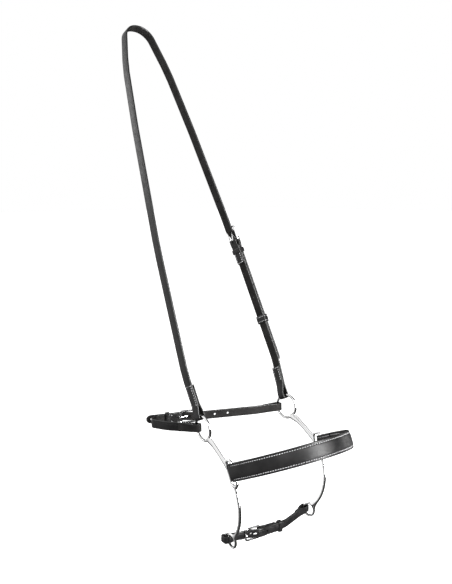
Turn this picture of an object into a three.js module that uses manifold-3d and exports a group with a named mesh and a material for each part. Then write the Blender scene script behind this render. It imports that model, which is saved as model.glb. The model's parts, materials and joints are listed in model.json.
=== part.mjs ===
// Bitless hackamore: a one-strap headstall, two cast shanks, a padded noseband,
// a curb strap behind the jaw and a joining strap between the rein rings.
//
// Millimetres. +X is towards the horse's nose, +Y towards its left (near) side, +Z up.
// The origin is on the underside of the crown, where the headstall rests on the poll.
// Everything below is laid out from the middle of the line through the two upper rings,
// and the whole group is then moved so that the poll is the origin.

import * as THREE from 'three';
import { mergeVertices } from 'three/addons/utils/BufferGeometryUtils.js';
import Module from 'manifold-3d';

// ---- driving dimensions ----------------------------------------------------------------

const RING_HALF_SPACING = 83;      // upper ring centre to the middle of the head
const SHANK_YAW = 6.8;             // degrees each shank opens outwards towards the front
const SHANK_LEAN = 4.5;            // degrees each shank leans inwards towards the bottom
const HEADSTALL_TILT = 24.6;       // degrees the headstall slopes back from vertical
const CROWN_RISE = 650;            // ring line to the crown, along the headstall
const NOSEBAND_LEAN = 23.2;        // degrees the noseband rises towards the front
const NOSEBAND_RAISE = 1.7;        // the band's middle over the middle of the slots

const GAP = 0.3;                   // clearance between pieces that touch

const HEADSTALL = { width: 15.5, thick: 2.8, fold: 2.0, narrow: 12.5 };
const CURB = { width: 13, thick: 2.6, fold: 1.9, narrow: 11 };
const JOINING = { width: 12.6, thick: 2.6, fold: 1.9, narrow: 9.2 };

const SHANK_THICK = 4.4;           // casting thickness, across the shank's plane
const SHANK_BEVEL = 1.3;
const UPPER_RING = { outer: 19.5, inner: 15.7 };
const LOWER_RING = { outer: 11, inner: 7.3 };
const SLOT_BAR = 4.2;              // width of each bar of the noseband slot
const SLOT_OPENING = { width: 9.4, length: 31.5 };
const SLOT_CENTRE = new THREE.Vector2(64.4, -46.2);
const ROD_WIDTH = 5.4;             // lower arm of the shank
const LOWER_RING_CENTRE = new THREE.Vector2(53.4, -147.3);

const NOSEBAND_WIDTH = 24.4;
const NOSEBAND_DEPTH = 107;        // slot bar to the front of the band, along the band's plane
const FACE_THICK = 2.2;
const PADDING_THICK = 3.8;
const LINING_THICK = 1.2;

const BUCKLE_WIRE = 1.3;           // radius of a buckle frame's wire
const TONGUE_WIRE = 0.95;          // radius of a buckle tongue's wire
const KEEPER_WALL = 1.3;

// ---- materials -------------------------------------------------------------------------

const leather = new THREE.MeshStandardMaterial({ color: 0x2a2a2c, roughness: 0.45, metalness: 0 });
const lining = new THREE.MeshStandardMaterial({ color: 0x333234, roughness: 0.6, metalness: 0 });
const foam = new THREE.MeshStandardMaterial({ color: 0x1c1c1d, roughness: 0.8, metalness: 0 });
const steel = new THREE.MeshStandardMaterial({ color: 0xd9dadc, roughness: 0.16, metalness: 1 });

// ---- small helpers ---------------------------------------------------------------------

const wasm = await Module();
wasm.setup();

const rad = THREE.MathUtils.degToRad;
const v2 = (x, y) => new THREE.Vector2(x, y);
const v3 = (x, y, z) => new THREE.Vector3(x, y, z);

/** Turn a closed geometry into a manifold solid. */
function solid(geometry) {
  const bare = geometry.clone();
  bare.deleteAttribute('normal');
  bare.deleteAttribute('uv');
  const merged = mergeVertices(bare, 1e-4);
  return new wasm.Manifold(new wasm.Mesh({
    numProp: 3,
    vertProperties: new Float32Array(merged.attributes.position.array),
    triVerts: new Uint32Array(merged.index.array),
  }));
}

/** Turn a manifold solid back into a geometry. */
function geometryOf(manifold) {
  const mesh = manifold.getMesh();
  const geometry = new THREE.BufferGeometry();
  geometry.setAttribute('position', new THREE.BufferAttribute(mesh.vertProperties, 3));
  geometry.setIndex(new THREE.BufferAttribute(mesh.triVerts, 1));
  geometry.computeVertexNormals();
  return geometry;
}

/** Cut each of the tools out of a geometry. */
function cut(geometry, tools) {
  let result = solid(geometry);
  for (const tool of tools) result = result.subtract(solid(tool));
  return geometryOf(result);
}

/** Join geometries that overlap into one body. */
function join(geometries) {
  let result = solid(geometries[0]);
  for (const other of geometries.slice(1)) result = result.add(solid(other));
  return geometryOf(result);
}

/**
 * A path through corners {at, round, thick}: straight runs joined by tangent arcs.
 * Each sample holds its point, its left-hand normal and the leather's thickness there.
 */
function strapPath(corners, arcStep = rad(20)) {
  const samples = [];
  const last = corners.length - 1;
  corners.forEach((corner, i) => {
    const into = i > 0 ? corner.at.clone().sub(corners[i - 1].at).normalize() : null;
    const out = i < last ? corners[i + 1].at.clone().sub(corner.at).normalize() : null;
    if (!into || !out) {
      const along = into ?? out;
      samples.push({ at: corner.at.clone(), normal: v2(-along.y, along.x), thick: corner.thick });
      return;
    }
    const turn = Math.atan2(into.cross(out), into.dot(out));
    const side = Math.sign(turn);
    const radius = corner.round;
    const reach = radius * Math.tan(Math.abs(turn) / 2);
    const start = corner.at.clone().addScaledVector(into, -reach);
    const centre = start.clone().add(v2(-into.y, into.x).multiplyScalar(side * radius));
    const steps = Math.max(1, Math.ceil(Math.abs(turn) / arcStep));
    for (let k = 0; k <= steps; k++) {
      const angle = turn * k / steps;
      const normal = v2(-into.y, into.x).rotateAround(v2(0, 0), angle);
      const at = centre.clone().addScaledVector(normal, -side * radius);
      samples.push({ at, normal, thick: corner.thick });
    }
  });
  return samples;
}

/** The closed outline of leather of the path's thickness. */
function strapOutline(samples) {
  const left = samples.map((s) => s.at.clone().addScaledVector(s.normal, s.thick / 2));
  const right = samples.map((s) => s.at.clone().addScaledVector(s.normal, -s.thick / 2));
  return new THREE.Shape([...left, ...right.reverse()]);
}

/** Extrude an outline, centred on its plane. */
function slab(shape, depth) {
  const geometry = new THREE.ExtrudeGeometry(shape, { depth, bevelEnabled: false, curveSegments: 8 });
  return geometry.translate(0, 0, -depth / 2);
}

/** A strap: a path with thickness, extruded by its width. widthAt narrows it where it folds. */
function strap(corners, width, widthAt = () => 1) {
  const geometry = slab(strapOutline(strapPath(corners)), width);
  const position = geometry.attributes.position;
  for (let i = 0; i < position.count; i++) {
    position.setZ(i, position.getZ(i) * widthAt(position.getX(i), position.getY(i)));
  }
  return geometry;
}

const corner = (at, round, thick) => ({ at, round, thick });

function roundedRectangle(Path, halfWidth, halfHeight, radius) {
  const path = new Path();
  path.absarc(halfWidth - radius, halfHeight - radius, radius, 0, Math.PI / 2);
  path.absarc(-halfWidth + radius, halfHeight - radius, radius, Math.PI / 2, Math.PI);
  path.absarc(-halfWidth + radius, -halfHeight + radius, radius, Math.PI, Math.PI * 1.5);
  path.absarc(halfWidth - radius, -halfHeight + radius, radius, Math.PI * 1.5, Math.PI * 2);
  return path;
}

/** A named mesh. */
function part(name, geometry, material) {
  const mesh = new THREE.Mesh(geometry, material);
  mesh.name = name;
  return mesh;
}

/** A group whose own X, Y and Z point along the given directions. */
function frameGroup(xAxis, yAxis, origin = v3(0, 0, 0)) {
  const group = new THREE.Group();
  const zAxis = xAxis.clone().cross(yAxis).normalize();
  const squareY = zAxis.clone().cross(xAxis);
  group.setRotationFromMatrix(new THREE.Matrix4().makeBasis(xAxis, squareY, zAxis));
  group.position.copy(origin);
  return group;
}

// ---- buckles and keepers ---------------------------------------------------------------
//
// A buckle is laid out from its heel bar. s runs from the heel bar to the toe bar and h
// points to the side on which the billet's tail lies. The width of the strap is across both.

const TOE = 23;                    // heel bar to toe bar
const FRAME_CORNER = 1.9;          // radius of the frame's corners, along the wire's middle
const BAR_GAP = 0.5;               // clearance between the heel bar and the leather round it

/** Heights over the heel bar, for leather of the given main and folded thickness. */
function buckleHeights(leatherSize) {
  const wrap = BUCKLE_WIRE + BAR_GAP + leatherSize.fold / 2;
  const main = 1.0;
  const tail = main - leatherSize.thick / 2 - GAP - leatherSize.fold / 2;
  const billet = main + leatherSize.thick + GAP;
  const overBar = wrap + leatherSize.fold / 2 + GAP + leatherSize.thick / 2 + 0.1;
  const underToe = -(BUCKLE_WIRE + GAP + leatherSize.thick / 2);
  return { wrap, main, tail, billet, overBar, underToe };
}

/** Maps (s, h) at a heel bar to the strap's own plane. */
function buckleMap(heel, towardToe, outward) {
  return (s, h) => heel.clone().addScaledVector(towardToe, s).addScaledVector(outward, h);
}

/** The corners of the leather folded round the heel bar, from the main strap to the chape's end. */
function chapeCorners(map, leatherSize, chapeLength) {
  const { wrap, main, tail } = buckleHeights(leatherSize);
  const { thick, fold } = leatherSize;
  return [
    corner(map(-13, main), 8, thick),
    corner(map(-5, wrap), 6, fold),
    corner(map(wrap, wrap), wrap * 0.98, fold),
    corner(map(wrap, -wrap), wrap * 0.98, fold),
    corner(map(-5, -wrap), 6, fold),
    corner(map(-14, tail), 12, fold),
    corner(map(-chapeLength, tail), 0, fold),
  ];
}

/** The corners of the billet, from beyond the toe bar to its tip. */
function billetCorners(map, leatherSize, tipAt, leadIn = 12) {
  const { billet, overBar, underToe } = buckleHeights(leatherSize);
  const { thick } = leatherSize;
  return [
    corner(map(TOE + leadIn, underToe), leadIn, thick),
    corner(map(TOE - 3.5, underToe), 12, thick),
    corner(map(3.5, overBar), 12, thick),
    corner(map(-4, overBar), 14, thick),
    corner(map(-13, billet), 16, thick),
    corner(map(tipAt, billet), 0, thick),
  ];
}

/** Where the tongue goes through the billet: half way down the billet's slope. */
const tongueHole = { s: 9.9, h: 1.4, length: 12.8, width: 3.2 };

/** A group placed at a heel bar: X is s, Y is h and Z is across the strap. */
function buckleGroup(heel, towardToe, outward) {
  return frameGroup(v3(towardToe.x, towardToe.y, 0), v3(outward.x, outward.y, 0), v3(heel.x, heel.y, 0));
}

/** A wire frame with heel and toe bars, and side bars clear of the strap's edges. */
function buckleFrame(leatherSize) {
  const halfWidth = leatherSize.width / 2 + 0.7 + BUCKLE_WIRE;
  const path = roundedRectangle(THREE.Path, TOE / 2, halfWidth, FRAME_CORNER);
  const points = path.getPoints(3).slice(0, -1).map((p) => v3(p.x + TOE / 2, 0, p.y));
  return closedWire(points, BUCKLE_WIRE, 8);
}

/** A closed wire in the XZ plane: a round section carried round a ring of points. */
function closedWire(points, radius, sides) {
  const count = points.length;
  const position = [];
  const index = [];
  points.forEach((at, i) => {
    const before = points[(i + count - 1) % count];
    const after = points[(i + 1) % count];
    const outward = v3(after.z - before.z, 0, before.x - after.x).normalize();
    for (let k = 0; k < sides; k++) {
      const angle = Math.PI * 2 * k / sides;
      const reach = outward.clone().multiplyScalar(radius * Math.cos(angle));
      position.push(at.x + reach.x, radius * Math.sin(angle), at.z + reach.z);
      const next = (i + 1) % count;
      const turn = (k + 1) % sides;
      index.push(i * sides + k, i * sides + turn, next * sides + turn);
      index.push(i * sides + k, next * sides + turn, next * sides + k);
    }
  });
  const geometry = new THREE.BufferGeometry();
  geometry.setAttribute('position', new THREE.Float32BufferAttribute(position, 3));
  geometry.setIndex(index);
  geometry.computeVertexNormals();
  return geometry;
}

/** The tongue: an eye round the heel bar and a pin that rests on the toe bar. */
function buckleTongue() {
  const eyeRadius = BUCKLE_WIRE + GAP + TONGUE_WIRE;
  const eye = new THREE.TorusGeometry(eyeRadius, TONGUE_WIRE, 6, 14);
  const from = v3(eyeRadius * 0.9, eyeRadius * 0.45, 0);
  const to = v3(TOE + 1.9, BUCKLE_WIRE + GAP + TONGUE_WIRE + 0.05, 0);
  const pin = new THREE.CapsuleGeometry(TONGUE_WIRE, from.distanceTo(to), 2, 8);
  const along = to.clone().sub(from).normalize();
  pin.applyQuaternion(new THREE.Quaternion().setFromUnitVectors(v3(0, 1, 0), along));
  const middle = from.clone().add(to).multiplyScalar(0.5);
  pin.translate(middle.x, middle.y, middle.z);
  return join([eye, pin]);
}

/** A leather keeper: a loop round everything between two heights, with its length along s. */
function keeper(s, length, lowHeight, highHeight, halfWidth) {
  const clear = 0.35;
  const halfHeight = (highHeight - lowHeight) / 2 + clear;
  const outer = roundedRectangle(THREE.Shape, halfWidth + clear + KEEPER_WALL, halfHeight + KEEPER_WALL, 1.9);
  outer.holes.push(roundedRectangle(THREE.Path, halfWidth + clear, halfHeight, 0.5));
  const geometry = new THREE.ExtrudeGeometry(outer, { depth: length, bevelEnabled: false, curveSegments: 4 });
  geometry.translate(0, 0, -length / 2);
  const middle = (lowHeight + highHeight) / 2;
  return geometry.rotateY(Math.PI / 2).translate(s, middle, 0);
}

/** The span of heights that a keeper holds: the chape, the main strap and the billet. */
function keeperSpan(leatherSize, overChape) {
  const { main, tail, billet } = buckleHeights(leatherSize);
  const low = overChape ? tail - leatherSize.fold / 2 : main - leatherSize.thick / 2;
  return { low, high: billet + leatherSize.thick / 2 };
}

/** Slots in the chape for the tongue's eye, in the buckle's own frame. */
function chapeSlot(heel, towardToe) {
  const slot = new THREE.BoxGeometry(9.4, 12, 3.0).translate(0.6, 0, 0);
  slot.rotateZ(Math.atan2(towardToe.y, towardToe.x));
  return slot.translate(heel.x, heel.y, 0);
}

/** A punched hole in a billet, straight through the leather's thickness. */
function punchedHole(at, towardToe, length, width = 3.2) {
  const outline = roundedRectangle(THREE.Shape, length / 2, width / 2, width / 2 - 0.01);
  const geometry = new THREE.ExtrudeGeometry(outline, { depth: 12, bevelEnabled: false, curveSegments: 3 });
  geometry.translate(0, 0, -6).rotateX(Math.PI / 2).rotateZ(Math.atan2(towardToe.y, towardToe.x));
  return geometry.translate(at.x, at.y, 0);
}

// ---- headstall -------------------------------------------------------------------------
//
// Both straps lie in one plane that slopes back by HEADSTALL_TILT. In that plane x runs
// across the head and y runs up from the ring line to the crown.

const headstall = frameGroup(v3(0, 1, 0), v3(-Math.sin(rad(HEADSTALL_TILT)), 0, Math.cos(rad(HEADSTALL_TILT))));

const cheekLow = v2(88.6, 78);                  // where each cheek stands widest
const cheekHeel = v2(77, 273);                  // heel bar of the cheek buckle
const cheekUp = cheekHeel.clone().sub(cheekLow).normalize();
const cheekOut = v2(cheekUp.y, -cheekUp.x);
const onCheek = buckleMap(cheekHeel, cheekUp, cheekOut);

const RING_FOLD_TOP = 62;                       // where the leather folded round a ring ends

/** Leather folded round an upper ring, on the side of the head given by side. */
function ringFold(side) {
  const { thick, fold } = HEADSTALL;
  const wire = v2(RING_HALF_SPACING + 0.4, (UPPER_RING.outer + UPPER_RING.inner) / 2);
  const slack = 3.8;
  const outer = wire.x + slack + fold / 2;
  const inner = wire.x - slack - fold / 2;
  const bottom = UPPER_RING.inner - 2.1 - fold / 2;
  return [
    corner(v2(side * 86.0, 34), 30, thick),
    corner(v2(side * outer, 20), 14, fold),
    corner(v2(side * outer, bottom), 3.4, fold),
    corner(v2(side * inner, bottom), 3.4, fold),
    corner(v2(side * inner, 20), 10, fold),
    corner(v2(side * (86.0 - thick / 2 - fold / 2 - GAP - 0.1), 35), 20, fold),
    corner(v2(side * (87.3 - thick / 2 - fold / 2 - GAP - 0.1), RING_FOLD_TOP), 0, fold),
  ];
}

const narrowing = (leatherSize, from, to) => (distance) => {
  const least = leatherSize.narrow / leatherSize.width;
  return THREE.MathUtils.mapLinear(THREE.MathUtils.clamp(distance, from, to), from, to, least, 1);
};
const headstallNarrowing = narrowing(HEADSTALL, 20, 36);

function crownStrap() {
  const { thick, width } = HEADSTALL;
  const crown = v2(21.5, CROWN_RISE);
  const shoulder = v2(41, 575);
  const temple = v2(55.5, 466);
  const path = [
    ...ringFold(-1).reverse(),
    corner(v2(-cheekLow.x, cheekLow.y), 160, thick),
    corner(v2(-76.6, 270), 700, thick),
    corner(v2(-temple.x, temple.y), 600, thick),
    corner(v2(-shoulder.x, shoulder.y), 220, thick),
    corner(v2(-crown.x, crown.y), 26.5, thick),
    corner(crown, 26.5, thick),
    corner(shoulder, 220, thick),
    corner(temple, 600, thick),
    ...billetCorners(onCheek, HEADSTALL, -202),
  ];
  const body = strap(path, width, (x, y) => headstallNarrowing(y));
  const holes = [314, 343, 372].map((rise) => {
    const across = THREE.MathUtils.mapLinear(rise, cheekHeel.y, temple.y, cheekHeel.x, temple.x);
    return punchedHole(v2(across, rise), cheekUp, 3.21);
  });
  const tonguePlace = onCheek(tongueHole.s, tongueHole.h);
  holes.push(punchedHole(tonguePlace, cheekUp, tongueHole.length, tongueHole.width));
  return cut(body, holes);
}

function nearCheekStrap() {
  const path = [
    ...ringFold(1).reverse(),
    corner(onCheek(-186, buckleHeights(HEADSTALL).main), 120, HEADSTALL.thick),
    ...chapeCorners(onCheek, HEADSTALL, 38),
  ];
  const body = strap(path, HEADSTALL.width, (x, y) => headstallNarrowing(y));
  return cut(body, [chapeSlot(cheekHeel, cheekUp)]);
}

headstall.add(part('crown_strap', crownStrap(), leather));
headstall.add(part('near_cheek_strap', nearCheekStrap(), leather));

const cheekBuckle = buckleGroup(cheekHeel, cheekUp, cheekOut);
const cheekKeeperSpan = keeperSpan(HEADSTALL, true);
const slidingSpan = keeperSpan(HEADSTALL, false);
cheekBuckle.add(part('cheek_buckle_frame', buckleFrame(HEADSTALL), steel));
cheekBuckle.add(part('cheek_buckle_tongue', buckleTongue(), steel));
cheekBuckle.add(part('cheek_fixed_keeper',
  keeper(-17, 7, cheekKeeperSpan.low, cheekKeeperSpan.high, HEADSTALL.width / 2), leather));
cheekBuckle.add(part('cheek_sliding_keeper',
  keeper(-133, 12, slidingSpan.low, slidingSpan.high, HEADSTALL.width / 2), leather));
headstall.add(cheekBuckle);

// ---- shanks ----------------------------------------------------------------------------
//
// One casting, in its own side view: x forward, y up, from the upper ring's centre.

/** One flat web of the casting with rounded edges. */
function web(shape, curveSegments = 12) {
  const depth = SHANK_THICK - 2 * SHANK_BEVEL;
  const geometry = new THREE.ExtrudeGeometry(shape, {
    depth, curveSegments, bevelEnabled: true, bevelSegments: 1,
    bevelSize: SHANK_BEVEL, bevelThickness: SHANK_BEVEL, bevelOffset: -SHANK_BEVEL,
  });
  return geometry.translate(0, 0, -depth / 2);
}

function annulus(size) {
  const shape = new THREE.Shape();
  shape.absarc(0, 0, size.outer, 0, Math.PI * 2);
  const hole = new THREE.Path();
  hole.absarc(0, 0, size.inner, 0, Math.PI * 2);
  shape.holes.push(hole);
  return shape;
}

/** The tapering arm from the upper ring to the slot. */
function armShape() {
  const shape = new THREE.Shape();
  shape.moveTo(17.2, -3.5);
  shape.quadraticCurveTo(18.6, -9.4, 24.5, -12.6);
  shape.lineTo(46, -27.4);
  shape.quadraticCurveTo(50, -30, 54.5, -31);
  shape.lineTo(54.2, -36);
  shape.lineTo(58, -49);
  shape.quadraticCurveTo(49, -40, 35.7, -30.1);
  shape.quadraticCurveTo(23, -21.6, 3, -17.9);
  shape.closePath();
  return shape;
}

/** The slot for the noseband: a rounded frame whose bars lean forward towards the bottom. */
function slotFrame() {
  const shape = roundedRectangle(THREE.Shape,
    SLOT_OPENING.width / 2 + SLOT_BAR, SLOT_OPENING.length / 2 + SLOT_BAR, 8);
  shape.holes.push(roundedRectangle(THREE.Path, SLOT_OPENING.width / 2, SLOT_OPENING.length / 2, 4.2));
  return web(shape, 4).rotateZ(rad(NOSEBAND_LEAN)).translate(SLOT_CENTRE.x, SLOT_CENTRE.y, 0);
}

/** The curved lower arm, flaring where it meets the lower ring. */
function lowerArmShape() {
  const middle = new THREE.SplineCurve([
    v2(70.6, -61.5), v2(74.6, -76), v2(77.4, -94), v2(75.4, -112), v2(69.4, -127), v2(59.6, -140.7),
  ]);
  const steps = 16;
  const left = [];
  const right = [];
  for (let i = 0; i <= steps; i++) {
    const t = i / steps;
    const at = middle.getPointAt(t);
    const along = middle.getTangentAt(t);
    const flare = 1 + 0.25 * Math.max(0, 1 - t * 8) + 1.15 * Math.max(0, (t - 0.86) / 0.14) ** 2;
    const half = ROD_WIDTH / 2 * flare;
    left.push(v2(at.x - along.y * half, at.y + along.x * half));
    right.push(v2(at.x + along.y * half, at.y - along.x * half));
  }
  return new THREE.Shape([...left, ...right.reverse()]);
}

function shankGeometry() {
  return join([
    web(annulus(UPPER_RING), 20),
    web(armShape(), 6),
    slotFrame(),
    web(lowerArmShape()),
    web(annulus(LOWER_RING), 14).translate(LOWER_RING_CENTRE.x, LOWER_RING_CENTRE.y, 0),
  ]);
}

/** The group that holds a shank: side is 1 for the near side and -1 for the off side. */
function shankFrame(side) {
  const forward = v3(Math.cos(rad(SHANK_YAW)), side * Math.sin(rad(SHANK_YAW)), 0);
  const up = v3(0, side * Math.sin(rad(SHANK_LEAN)), Math.cos(rad(SHANK_LEAN)));
  return frameGroup(forward, up, v3(0, side * RING_HALF_SPACING, 0));
}

const nearShank = shankFrame(1);
const offShank = shankFrame(-1);
nearShank.add(part('near_shank', shankGeometry(), steel));
offShank.add(part('off_shank', shankGeometry(), steel));

/** A point of the near shank, from its side view to the layout frame. */
function onNearShank(x, y) {
  nearShank.updateMatrixWorld(true);
  return v3(x, y, 0).applyMatrix4(nearShank.matrixWorld);
}

// ---- noseband --------------------------------------------------------------------------
//
// A padded band bent round the nose. In its plane x runs forward from the slot's front bars
// and y runs across. Its ends are folded round those bars and stitched on the inside.

const frontBarOffset = (SLOT_OPENING.width + SLOT_BAR) / 2;
const frontBar = onNearShank(
  SLOT_CENTRE.x + frontBarOffset * Math.cos(rad(NOSEBAND_LEAN)),
  SLOT_CENTRE.y + frontBarOffset * Math.sin(rad(NOSEBAND_LEAN)));

const noseband = frameGroup(
  v3(Math.cos(rad(NOSEBAND_LEAN)), 0, Math.sin(rad(NOSEBAND_LEAN))), v3(0, 1, 0),
  v3(frontBar.x - NOSEBAND_RAISE * Math.sin(rad(NOSEBAND_LEAN)), 0,
    frontBar.z + NOSEBAND_RAISE * Math.cos(rad(NOSEBAND_LEAN))));

const BAND_CLEAR_ACROSS = 3.2;      // half the space inside an end loop, across the bar
const BAND_CLEAR_ALONG = 3.5;       // the same, forward and back
const FOLD_TAIL = 27;               // how far forward the folded ends reach
const faceHalfSpan = frontBar.y + BAND_CLEAR_ACROSS + FACE_THICK / 2;

/** Corners along half an ellipse that stands inside the face's centre line by inset. */
function bandArc(inset, from, to, steps, thick) {
  const corners = [];
  for (let i = 0; i <= steps; i++) {
    const angle = THREE.MathUtils.lerp(from, to, i / steps);
    const outward = v2(Math.cos(angle) / NOSEBAND_DEPTH, Math.sin(angle) / faceHalfSpan).normalize();
    const at = v2(NOSEBAND_DEPTH * Math.cos(angle), faceHalfSpan * Math.sin(angle));
    corners.push(corner(at.addScaledVector(outward, -inset), 0, thick));
  }
  return corners;
}

function nosebandFace() {
  const back = -(BAND_CLEAR_ALONG + FACE_THICK / 2);
  const tailInset = 2 * BAND_CLEAR_ACROSS + FACE_THICK;
  const quarter = Math.PI / 2;
  const endFold = (side) => [
    ...bandArc(tailInset, side * Math.acos(FOLD_TAIL / NOSEBAND_DEPTH), side * quarter, 4, FACE_THICK),
    corner(v2(back, side * (faceHalfSpan - tailInset)), 3.4, FACE_THICK),
    corner(v2(back, side * faceHalfSpan), 3.4, FACE_THICK),
  ];
  const path = [...endFold(-1), ...bandArc(0, -quarter, quarter, 44, FACE_THICK), ...endFold(1).reverse()];
  return strap(path, NOSEBAND_WIDTH);
}

/** A layer inside the face that stops short of the bars. */
function nosebandLayer(inset, thick, width) {
  const end = rad(85.2);
  return strap(bandArc(inset, -end, end, 40, thick), width);
}

const paddingInset = FACE_THICK / 2 + GAP + PADDING_THICK / 2;
const liningInset = paddingInset + PADDING_THICK / 2 + GAP + LINING_THICK / 2;
noseband.add(part('noseband_face', nosebandFace(), leather));
noseband.add(part('noseband_padding',
  nosebandLayer(paddingInset, PADDING_THICK, NOSEBAND_WIDTH - 2.5), foam));
noseband.add(part('noseband_lining', nosebandLayer(liningInset, LINING_THICK, NOSEBAND_WIDTH), lining));

// ---- curb strap ------------------------------------------------------------------------
//
// Just below the line of the upper rings and lower towards the rear. x forward, y across.

const CURB_DROP = 2.5;
const CURB_PITCH = 3.2;
const curb = frameGroup(
  v3(Math.cos(rad(CURB_PITCH)), 0, Math.sin(rad(CURB_PITCH))), v3(0, 1, 0), v3(0, 0, -CURB_DROP));
const nearRingRear = onNearShank(-(UPPER_RING.outer + UPPER_RING.inner) / 2, 0);

/**
 * A fold round a ring's rear wire, listed from the main strap to the end of the tail.
 * away points from the wire along the strap; slack is the space left on each side of the wire,
 * behind is the space beyond it, and the leaves meet at reach.meet and end at reach.tail.
 */
function wireFold(wire, away, leatherSize, slack, reach, tailSide) {
  const { thick, fold } = leatherSize;
  const across = v2(-away.y, away.x).multiplyScalar(tailSide);
  const place = (s, h) => wire.clone().addScaledVector(away, s).addScaledVector(across, h);
  const near = slack.near + fold / 2;
  const far = slack.far + fold / 2;
  const end = -(slack.behind + fold / 2);
  const round = Math.min(3.2, (near + far) / 2 - 0.05);
  const meet = -thick / 2 + GAP / 2;
  return [
    corner(place(reach.meet, meet - GAP), 12, thick),
    corner(place(reach.open, -far), 5, fold),
    corner(place(end, -far), round, fold),
    corner(place(end, near), round, fold),
    corner(place(reach.open, near), 5, fold),
    corner(place(reach.meet, fold / 2 + GAP), 8, fold),
    corner(place(reach.tail, fold / 2 + GAP), 0, fold),
  ];
}

const curbHeel = v2(-81.5, -60.5);
const curbToToe = v2(27, 54).normalize();
const curbOut = v2(-curbToToe.y, curbToToe.x);
const onCurb = buckleMap(curbHeel, curbToToe, curbOut);
const curbNarrowing = narrowing(CURB, 3.5, 20);

function curbBillet() {
  const wire = v2(nearRingRear.x, nearRingRear.y);
  const away = v2(-0.16, -1).normalize();
  const path = [
    ...wireFold(wire, away, CURB, { near: 3.3, far: 5.5, behind: 3.2 }, { open: 6, meet: 18, tail: 27 }, -1).reverse(),
    corner(v2(-25.5, 42), 100, CURB.thick),
    ...billetCorners(onCurb, CURB, -50),
  ];
  const body = strap(path, CURB.width, (x, y) => curbNarrowing(wire.distanceTo(v2(x, y))));
  const holes = [v2(-45.8, 3.0), v2(-55.1, -14.8)].map((at) => punchedHole(at, curbToToe, 3.41, 3.4));
  holes.push(punchedHole(onCurb(tongueHole.s, tongueHole.h), curbToToe, tongueHole.length, tongueHole.width));
  return cut(body, holes);
}

function curbStrap() {
  const wire = v2(nearRingRear.x, -nearRingRear.y);
  const away = v2(-0.85, -0.53).normalize();
  const path = [
    ...wireFold(wire, away, CURB, { near: 3.7, far: 3.5, behind: 5.2 }, { open: 6, meet: 18, tail: 27 }, 1).reverse(),
    corner(v2(-50, -102.5), 60, CURB.thick),
    corner(v2(-85, -110.5), 8.5, CURB.thick),
    corner(onCurb(-36, buckleHeights(CURB).main - 1.0), 9, CURB.thick),
    ...chapeCorners(onCurb, CURB, 22),
  ];
  const body = strap(path, CURB.width, (x, y) => curbNarrowing(wire.distanceTo(v2(x, y))));
  return cut(body, [chapeSlot(curbHeel, curbToToe)]);
}

curb.add(part('curb_strap', curbStrap(), leather));
curb.add(part('curb_billet', curbBillet(), leather));
const curbBuckle = buckleGroup(curbHeel, curbToToe, curbOut);
const curbSpan = keeperSpan(CURB, true);
curbBuckle.add(part('curb_buckle_frame', buckleFrame(CURB), steel));
curbBuckle.add(part('curb_buckle_tongue', buckleTongue(), steel));
curbBuckle.add(part('curb_keeper', keeper(-18.5, 6, curbSpan.low, curbSpan.high, CURB.width / 2), leather));
curb.add(curbBuckle);

// ---- joining strap ---------------------------------------------------------------------
//
// Just below the lower rings, a little lower at the near side. x forward, y across.

const ringMiddle = onNearShank(LOWER_RING_CENTRE.x, LOWER_RING_CENTRE.y);
const JOINING_DROP = 0.4;
const JOINING_ROLL = 0.2;
const joining = frameGroup(
  v3(1, 0, 0), v3(0, Math.cos(rad(JOINING_ROLL)), -Math.sin(rad(JOINING_ROLL))),
  v3(0, 0, ringMiddle.z - JOINING_DROP));
const lowerWire = onNearShank(
  LOWER_RING_CENTRE.x - (LOWER_RING.outer + LOWER_RING.inner) / 2, LOWER_RING_CENTRE.y);

const joiningHeel = v2(57.6, -29);
const joiningToToe = v2(-0.13, -1).normalize();
const joiningOut = v2(1, -0.13).normalize();
const onJoining = buckleMap(joiningHeel, joiningToToe, joiningOut);
const joiningNarrowing = narrowing(JOINING, 8, 20);

function joiningStrap() {
  const wire = v2(lowerWire.x, lowerWire.y);
  const away = v2(0.33, -1).normalize();
  const path = [
    ...wireFold(wire, away, JOINING, { near: 3.8, far: 4.9, behind: 3.8 }, { open: 7, meet: 19, tail: 30 }, -1).reverse(),
    corner(onJoining(-45, buckleHeights(JOINING).main), 30, JOINING.thick),
    ...chapeCorners(onJoining, JOINING, 28),
  ];
  const body = strap(path, JOINING.width, (x, y) => joiningNarrowing(wire.distanceTo(v2(x, y))));
  return cut(body, [chapeSlot(joiningHeel, joiningToToe)]);
}

function joiningBillet() {
  const wire = v2(lowerWire.x, -lowerWire.y);
  const away = v2(0.2, 1).normalize();
  const path = [
    ...wireFold(wire, away, JOINING, { near: 5.6, far: 4.7, behind: 6.5 }, { open: 2, meet: 13, tail: 19 }, 1).reverse(),
    ...billetCorners(onJoining, JOINING, -41, 5),
  ];
  const body = strap(path, JOINING.width, (x, y) => joiningNarrowing(wire.distanceTo(v2(x, y))));
  const holes = [
    punchedHole(onJoining(-10, 4.4), joiningToToe, 3.41, 3.4),
    punchedHole(onJoining(tongueHole.s, tongueHole.h), joiningToToe, tongueHole.length, tongueHole.width),
  ];
  return cut(body, holes);
}

joining.add(part('joining_strap', joiningStrap(), leather));
joining.add(part('joining_billet', joiningBillet(), leather));
const joiningBuckle = buckleGroup(joiningHeel, joiningToToe, joiningOut);
const joiningSpan = keeperSpan(JOINING, false);
joiningBuckle.add(part('joining_buckle_frame', buckleFrame(JOINING), steel));
joiningBuckle.add(part('joining_buckle_tongue', buckleTongue(), steel));
joiningBuckle.add(part('joining_keeper',
  keeper(-34, 6, joiningSpan.low, joiningSpan.high, JOINING.width / 2), leather));
joining.add(joiningBuckle);

// ---- the whole object ------------------------------------------------------------------

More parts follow.
